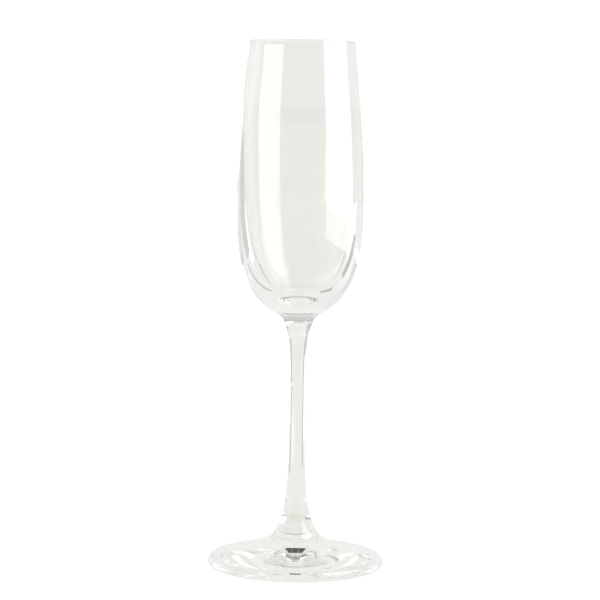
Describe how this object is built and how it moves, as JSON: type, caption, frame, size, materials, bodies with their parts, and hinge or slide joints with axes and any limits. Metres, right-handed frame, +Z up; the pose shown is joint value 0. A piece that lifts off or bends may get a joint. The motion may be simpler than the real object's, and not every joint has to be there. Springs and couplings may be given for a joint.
{
  "type": "champagne flute",
  "caption": "Slender footed drinking glass: a tall narrow bowl that tapers in at the rim, on a drawn stem that flares into a thin round foot.",
  "frame": {"origin": "middle of the flat ring under the foot, at table height", "axes": "+Z up along the flute's axis from the foot to the rim; +X and +Y are any two square directions, because the flute is round"},
  "size_m": [0.0756, 0.0756, 0.225],
  "materials": {
    "bowl_glass": "clear blown glass, fire-polished, with a faint grey-green depth",
    "stem_glass": "clear drawn glass, smooth, with faint draw lines along it",
    "foot_glass": "clear pressed glass, smooth, with faint rings from pressing"
  },
  "bodies": {
    "root": {"bowl": "bowl_glass", "stem": "stem_glass", "foot": "foot_glass"}
  },
  "joints": []
}
